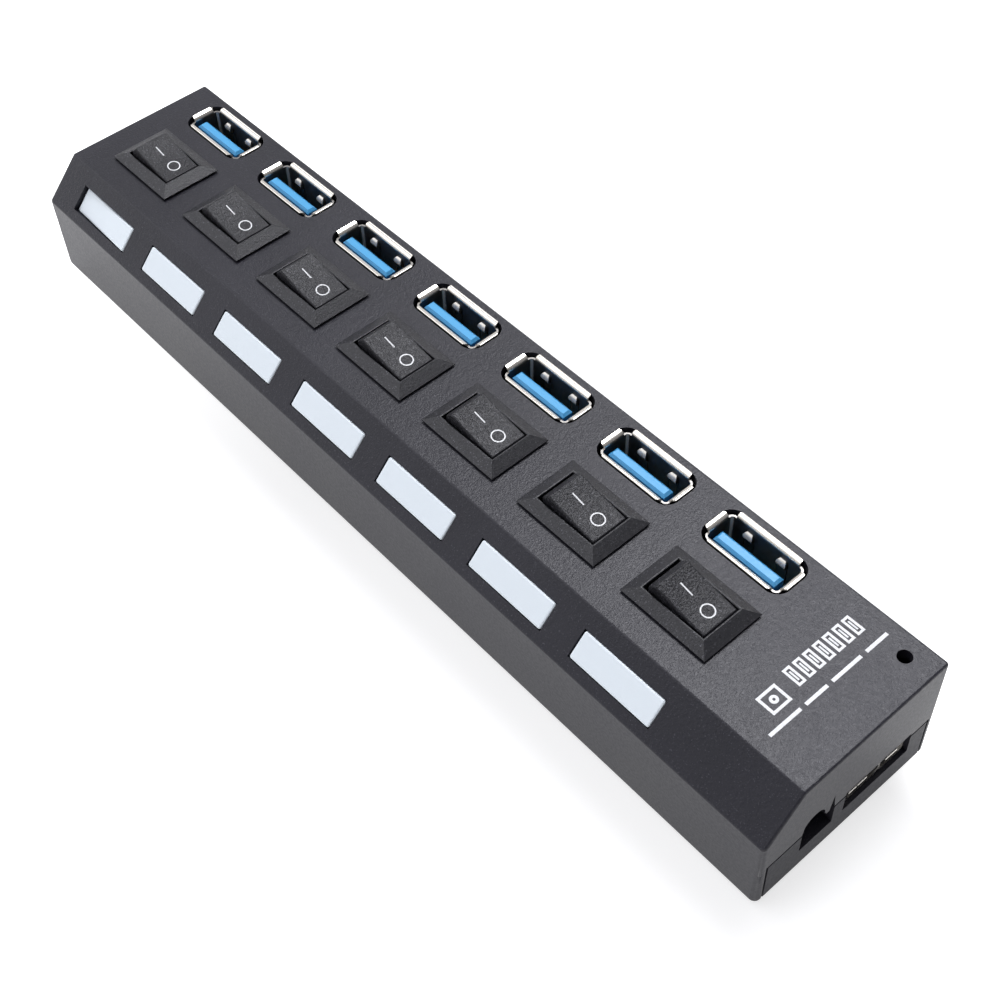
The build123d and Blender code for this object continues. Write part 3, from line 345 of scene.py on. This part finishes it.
def strip(bm, path, half_width, lift, place, closed=False):
    """Raised flat line along a path of (u, v) points, mapped to the surface by place(u, v, w)."""
    count = len(path)
    rows = []
    for i, point in enumerate(path):
        before = path[i - 1] if closed or i else path[0]
        after = path[(i + 1) % count] if closed or i < count - 1 else path[-1]
        way_in = (Vector(point) - Vector(before)).normalized() if before != point else None
        way_out = (Vector(after) - Vector(point)).normalized() if after != point else None
        way = ((way_in or way_out) + (way_out or way_in)).normalized()
        side = Vector((-way.y, way.x))
        stretch = half_width / max(0.5, abs(way.dot(way_out or way_in)))
        left = Vector(point) + side * stretch
        right = Vector(point) - side * stretch
        corners = [(left, 0.0), (left, lift), (right, lift), (right, 0.0)]
        rows.append([bm.verts.new(place(p.x, p.y, w)) for p, w in corners])
    spans = list(zip(rows, rows[1:])) + ([(rows[-1], rows[0])] if closed else [])
    for a, b in spans:
        for j in range(4):
            k = (j + 1) % 4
            bm.faces.new((a[j], a[k], b[k], b[j]))
    if not closed:
        bm.faces.new(rows[0][::-1])
        bm.faces.new(rows[-1])


def piece(name, bm, material, body):
    """Turns mesh data into a named piece that rides on a body."""
    bmesh.ops.recalc_face_normals(bm, faces=bm.faces)
    mesh = bpy.data.meshes.new(name)
    bm.to_mesh(mesh)
    bm.free()
    mesh.materials.append(material)
    made = bpy.data.objects.new(name, mesh)
    scene.collection.objects.link(made)
    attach(made, body)
    return made


def ring(u, v, radius, count=40):
    """Points of a circle."""
    turns = [2 * math.pi * i / count for i in range(count)]
    return [(u + radius * math.cos(t), v + radius * math.sin(t)) for t in turns]


def line(a, b, count=10):
    """Evenly spaced points of a straight line."""
    run, rise = b[0] - a[0], b[1] - a[1]
    return [(a[0] + run * i / count, a[1] + rise * i / count) for i in range(count + 1)]


ROCKER_TILT = math.radians(11.5)
DISH_EDGE_X = 4.387
DISH_EDGE_Z = 4.270
DISH_SAG = 0.16
DISH_R = (DISH_EDGE_X ** 2 + DISH_SAG ** 2) / (2 * DISH_SAG)
ROCKER_LINE = ((-2.82, -0.03), (-0.59, -0.03))
ROCKER_RING = (2.2, -0.05, 0.97)
ROCKER_HALF_WIDTH = 0.1
ROCKER_LIFT = 0.025


def on_rocker(pivot):
    """Maps (u, v, w) in millimetres on the dished top of a rocker to the row frame."""
    turn = Matrix.Rotation(ROCKER_TILT, 3, "Y")

    def place(u, v, w):
        dish = DISH_EDGE_Z - DISH_SAG + DISH_R - math.sqrt(DISH_R ** 2 - u ** 2)
        return pivot + turn @ (Vector((u, v, dish + w)) * MM)

    return place


for k in ROWS:
    pivot = Vector(joints[f"rocker_{k}_tilt"]["pos_m"])
    bm = bmesh.new()
    surface = on_rocker(pivot)
    strip(bm, line(*ROCKER_LINE), ROCKER_HALF_WIDTH, ROCKER_LIFT, surface)
    strip(bm, ring(*ROCKER_RING), ROCKER_HALF_WIDTH, ROCKER_LIFT, surface, closed=True)
    piece(f"rocker_marks_{k}", bm, white_print, f"rocker_{k}")



PRINT_LIFT = 0.03
BADGE_X, BADGE_Y = 69.5, -3.4
SOCKET_MARK_X = 68.9
SOCKET_MARK_FIRST_Y = 0.95
SOCKET_MARK_PITCH = 1.84
BAR_X = 72.6
BAR_SPANS = ((-7.6, -2.0), (-1.1, 2.9), (3.8, 9.2), (10.2, 14.2))


def on_top(x, y, w):
    """Maps (x, y, height) in millimetres to the flat top of the case."""
    top_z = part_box("top_cover")[1].z
    return Vector((x * MM, y * MM, top_z + w * MM))


def frame_line(bm, x, y, size_x, size_y, stroke):
    """Rectangle drawn as a raised line."""
    a, b = size_x / 2 - stroke / 2, size_y / 2 - stroke / 2
    path = [(x - a, y - b), (x + a, y - b), (x + a, y + b), (x - a, y + b)]
    strip(bm, path, stroke / 2, PRINT_LIFT, on_top, closed=True)


bm = bmesh.new()
frame_line(bm, BADGE_X, BADGE_Y, 3.1, 3.4, 0.42)
strip(bm, ring(BADGE_X, BADGE_Y, 0.42, 24), 0.21, PRINT_LIFT, on_top, closed=True)
for i in range(len(ROWS)):
    y = SOCKET_MARK_FIRST_Y + SOCKET_MARK_PITCH * i
    frame_line(bm, SOCKET_MARK_X, y, 3.0, 1.34, 0.36)
    strip(bm, line((68.1, y), (69.7, y), 2), 0.13, PRINT_LIFT, on_top)
for low_y, high_y in BAR_SPANS:
    strip(bm, line((BAR_X, low_y), (BAR_X, high_y), 4), 0.26, PRINT_LIFT, on_top)
piece("top_print", bm, white_print, "hub_case")

# ---------------------------------------------------------------- camera, floor and light

CAMERA_LENS = 55.96
CAMERA_SENSOR = 36.0
CAMERA_PLACE = (124.93, -90.87, 185.98)
CAMERA_AIM = (16.72, -1.76, 10.7)
CAMERA_ROLL = -2.71
FLOOR_SIZE = 4.0
FLOOR_DARK = (0.49, 0.49, 0.49)
FLOOR_LIGHT = (0.505, 0.505, 0.505)
ROOM_TINT = (0.98, 0.985, 1.035, 1.0)

camera_data = bpy.data.cameras.new("camera")
camera_data.lens = CAMERA_LENS
camera_data.sensor_width = CAMERA_SENSOR
camera_data.clip_start = 0.01
camera = bpy.data.objects.new("camera", camera_data)
scene.collection.objects.link(camera)
camera.location = Vector(CAMERA_PLACE) * MM
aim = Vector(CAMERA_AIM) * MM
roll = Quaternion((0, 0, 1), math.radians(CAMERA_ROLL))
camera.rotation_mode = "QUATERNION"
camera.rotation_quaternion = (aim - camera.location).to_track_quat("-Z", "Y") @ roll
scene.camera = camera

floor_shader = Shader("floor", IOR=1.4)
floor_shader.surface.inputs["Specular IOR Level"].default_value = 0.0
floor_tone = floor_shader.noise(0.004, 2.0, 0.5)
floor_shader.colour(floor_shader.mix(floor_tone, FLOOR_DARK, FLOOR_LIGHT))
floor_shader.rough(floor_shader.ramp(floor_shader.noise(0.05, 2.0, 0.5), 0.3, 0.7, 0.85, 0.95))
# The floor glows as painted light: brighter towards -X and in a patch beyond the case's +X, +Y
# corner, so the case's sides and end catch more light there, and its shadow on the floor is washed
# out
floor_shader.surface.inputs["Emission Color"].default_value = (1.0, 1.0, 1.0, 1.0)
left_light = floor_shader.ramp(floor_shader.along("X"), -120.0, -10.0, 1.32, 0.68)
past_end = floor_shader.ramp(floor_shader.along("X"), 66.0, 80.0)
past_back = floor_shader.ramp(floor_shader.along("Y"), 8.0, 20.0, 0.0, 0.65)
corner_light = floor_shader.math("MULTIPLY", past_end, past_back)
floor_light = floor_shader.math("ADD", left_light, corner_light)
floor_shader.join(floor_light, floor_shader.surface.inputs["Emission Strength"])
bm = bmesh.new()
bmesh.ops.create_grid(bm, x_segments=8, y_segments=8, size=FLOOR_SIZE)
floor_mesh = bpy.data.meshes.new("floor")
bm.to_mesh(floor_mesh)
bm.free()
floor_mesh.materials.append(floor_shader.material)
floor = bpy.data.objects.new("floor", floor_mesh)
scene.collection.objects.link(floor)

world = bpy.data.worlds.new("studio")
scene.world = world
world.use_nodes = True
tree = world.node_tree
tree.nodes.clear()
world_output = tree.nodes.new("ShaderNodeOutputWorld")
background = tree.nodes.new("ShaderNodeBackground")
tree.links.new(background.outputs[0], world_output.inputs[0])
background.inputs["Color"].default_value = ROOM_TINT
heading = tree.nodes.new("ShaderNodeTexCoord").outputs["Generated"]


def glow(toward, inner, outer, low, high):
    """Soft change of brightness between two angles, in degrees, around a direction in the room."""
    aligned = tree.nodes.new("ShaderNodeVectorMath")
    aligned.operation = "DOT_PRODUCT"
    aligned.inputs[1].default_value = Vector(toward).normalized()
    tree.links.new(heading, aligned.inputs[0])
    spread = tree.nodes.new("ShaderNodeMapRange")
    spread.interpolation_type = "SMOOTHSTEP"
    edges = (math.cos(math.radians(outer)), math.cos(math.radians(inner)))
    for socket, number in zip(RANGE_SOCKETS, (*edges, low, high)):
        spread.inputs[socket].default_value = number
    tree.links.new(aligned.outputs["Value"], spread.inputs["Value"])
    return spread.outputs["Result"]


def total(values):
    """Sum of several brightness values."""
    added = values[0]
    for value in values[1:]:
        plus = tree.nodes.new("ShaderNodeMath")
        plus.operation = "ADD"
        tree.links.new(added, plus.inputs[0])
        tree.links.new(value, plus.inputs[1])
        added = plus.outputs[0]
    return added


room = glow((-0.95, 0.25, 0.0), 20, 160, 0.22, 0.72)
overhead_box = glow((-0.21, 0.43, 0.87), 4, 17, 0.0, 11.3)
side_box = glow((-0.52, -0.36, 0.78), 12, 32, 0.0, 1.1)
front_box = glow((-0.72, -0.62, 0.3), 10, 50, 0.0, 0.25)
tree.links.new(total([room, overhead_box, side_box, front_box]), background.inputs["Strength"])

scene.view_settings.view_transform = "Standard"
scene.view_settings.look = "None"
